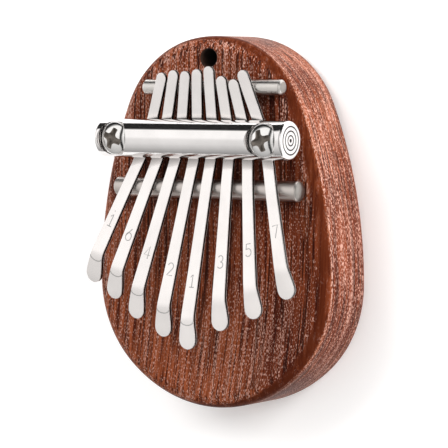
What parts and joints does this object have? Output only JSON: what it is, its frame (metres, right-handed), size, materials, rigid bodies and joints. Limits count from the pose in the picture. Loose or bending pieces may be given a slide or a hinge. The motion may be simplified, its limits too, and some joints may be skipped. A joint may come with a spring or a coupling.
{
  "type": "mbira",
  "caption": "Pocket mbira: egg-shaped solid wooden board with steel tines over two rods, held down by a round bar and two screws.",
  "frame": {"origin": "centre of the board's flat back face, which lies at Z = 0", "axes": "+Z out of the playing face, +Y along the board to the lanyard hole, +X to the player's right when looking at the playing face"},
  "size_m": [0.074, 0.0982, 0.035],
  "materials": {
    "mahogany": "satin, open pores",
    "chrome": "polished",
    "satin_steel": "satin",
    "screw_steel": "polished",
    "spring_steel": "polished, nickel plated"
  },
  "bodies": {
    "board": {"soundboard": "mahogany", "upper_bridge_rod": "satin_steel", "lower_bridge_rod": "satin_steel", "pressure_bar": "chrome", "screw_left": "screw_steel", "screw_right": "screw_steel"},
    "tine_high_1_shank": {"tine_high_1_shank": "spring_steel"},
    "tine_high_1_tongue": {"tine_high_1_tongue": "spring_steel"},
    "tine_6_shank": {"tine_6_shank": "spring_steel"},
    "tine_6_tongue": {"tine_6_tongue": "spring_steel"},
    "tine_4_shank": {"tine_4_shank": "spring_steel"},
    "tine_4_tongue": {"tine_4_tongue": "spring_steel"},
    "tine_2_shank": {"tine_2_shank": "spring_steel"},
    "tine_2_tongue": {"tine_2_tongue": "spring_steel"},
    "tine_1_shank": {"tine_1_shank": "spring_steel"},
    "tine_1_tongue": {"tine_1_tongue": "spring_steel"},
    "tine_3_shank": {"tine_3_shank": "spring_steel"},
    "tine_3_tongue": {"tine_3_tongue": "spring_steel"},
    "tine_5_shank": {"tine_5_shank": "spring_steel"},
    "tine_5_tongue": {"tine_5_tongue": "spring_steel"},
    "tine_7_shank": {"tine_7_shank": "spring_steel"},
    "tine_7_tongue": {"tine_7_tongue": "spring_steel"}
  },
  "joints": [
    {"name": "tine_high_1_tuning_slide", "type": "slide", "parent": "board", "child": "tine_high_1_shank", "axis": [0.3486, 0.9373, 0], "range_m": [-0.0007, 0.0007]},
    {"name": "tine_high_1_pluck", "type": "hinge", "parent": "tine_high_1_shank", "child": "tine_high_1_tongue", "pos_m": [-0.02227, 0.0091, 0.02655], "axis": [0.9373, -0.3486, 0], "range_deg": [-3, 3], "stiffness_Nm_per_rad": 9.11},
    {"name": "tine_6_tuning_slide", "type": "slide", "parent": "board", "child": "tine_6_shank", "axis": [0.2639, 0.9646, 0], "range_m": [-0.0007, 0.0007]},
    {"name": "tine_6_pluck", "type": "hinge", "parent": "tine_6_shank", "child": "tine_6_tongue", "pos_m": [-0.01573, 0.0091, 0.02655], "axis": [0.9646, -0.2639, 0], "range_deg": [-3, 3], "stiffness_Nm_per_rad": 8.09},
    {"name": "tine_4_tuning_slide", "type": "slide", "parent": "board", "child": "tine_4_shank", "axis": [0.1788, 0.9839, 0], "range_m": [-0.0007, 0.0007]},
    {"name": "tine_4_pluck", "type": "hinge", "parent": "tine_4_shank", "child": "tine_4_tongue", "pos_m": [-0.00923, 0.0091, 0.02655], "axis": [0.9839, -0.1788, 0], "range_deg": [-3, 3], "stiffness_Nm_per_rad": 7.1},
    {"name": "tine_2_tuning_slide", "type": "slide", "parent": "board", "child": "tine_2_shank", "axis": [0.0819, 0.9966, 0], "range_m": [-0.0007, 0.0007]},
    {"name": "tine_2_pluck", "type": "hinge", "parent": "tine_2_shank", "child": "tine_2_tongue", "pos_m": [-0.00258, 0.0091, 0.02655], "axis": [0.9966, -0.0819, 0], "range_deg": [-3, 3], "stiffness_Nm_per_rad": 6.4},
    {"name": "tine_1_tuning_slide", "type": "slide", "parent": "board", "child": "tine_1_shank", "axis": [0.0105, 0.9999, 0], "range_m": [-0.0007, 0.0007]},
    {"name": "tine_1_pluck", "type": "hinge", "parent": "tine_1_shank", "child": "tine_1_tongue", "pos_m": [0.00336, 0.0091, 0.02655], "axis": [0.9999, -0.0105, 0], "range_deg": [-3, 3], "stiffness_Nm_per_rad": 5.99},
    {"name": "tine_3_tuning_slide", "type": "slide", "parent": "board", "child": "tine_3_shank", "axis": [-0.0802, 0.9968, 0], "range_m": [-0.0007, 0.0007]},
    {"name": "tine_3_pluck", "type": "hinge", "parent": "tine_3_shank", "child": "tine_3_tongue", "pos_m": [0.0097, 0.0091, 0.02655], "axis": [0.9968, 0.0802, 0], "range_deg": [-3, 3], "stiffness_Nm_per_rad": 6.85},
    {"name": "tine_5_tuning_slide", "type": "slide", "parent": "board", "child": "tine_5_shank", "axis": [-0.1874, 0.9823, 0], "range_m": [-0.0007, 0.0007]},
    {"name": "tine_5_pluck", "type": "hinge", "parent": "tine_5_shank", "child": "tine_5_tongue", "pos_m": [0.01645, 0.0091, 0.02655], "axis": [0.9823, 0.1874, 0], "range_deg": [-3, 3], "stiffness_Nm_per_rad": 7.49},
    {"name": "tine_7_tuning_slide", "type": "slide", "parent": "board", "child": "tine_7_shank", "axis": [-0.3024, 0.9532, 0], "range_m": [-0.0007, 0.0007]},
    {"name": "tine_7_pluck", "type": "hinge", "parent": "tine_7_shank", "child": "tine_7_tongue", "pos_m": [0.02366, 0.0091, 0.02655], "axis": [0.9532, 0.3024, 0], "range_deg": [-3, 3], "stiffness_Nm_per_rad": 8.75}
  ]
}
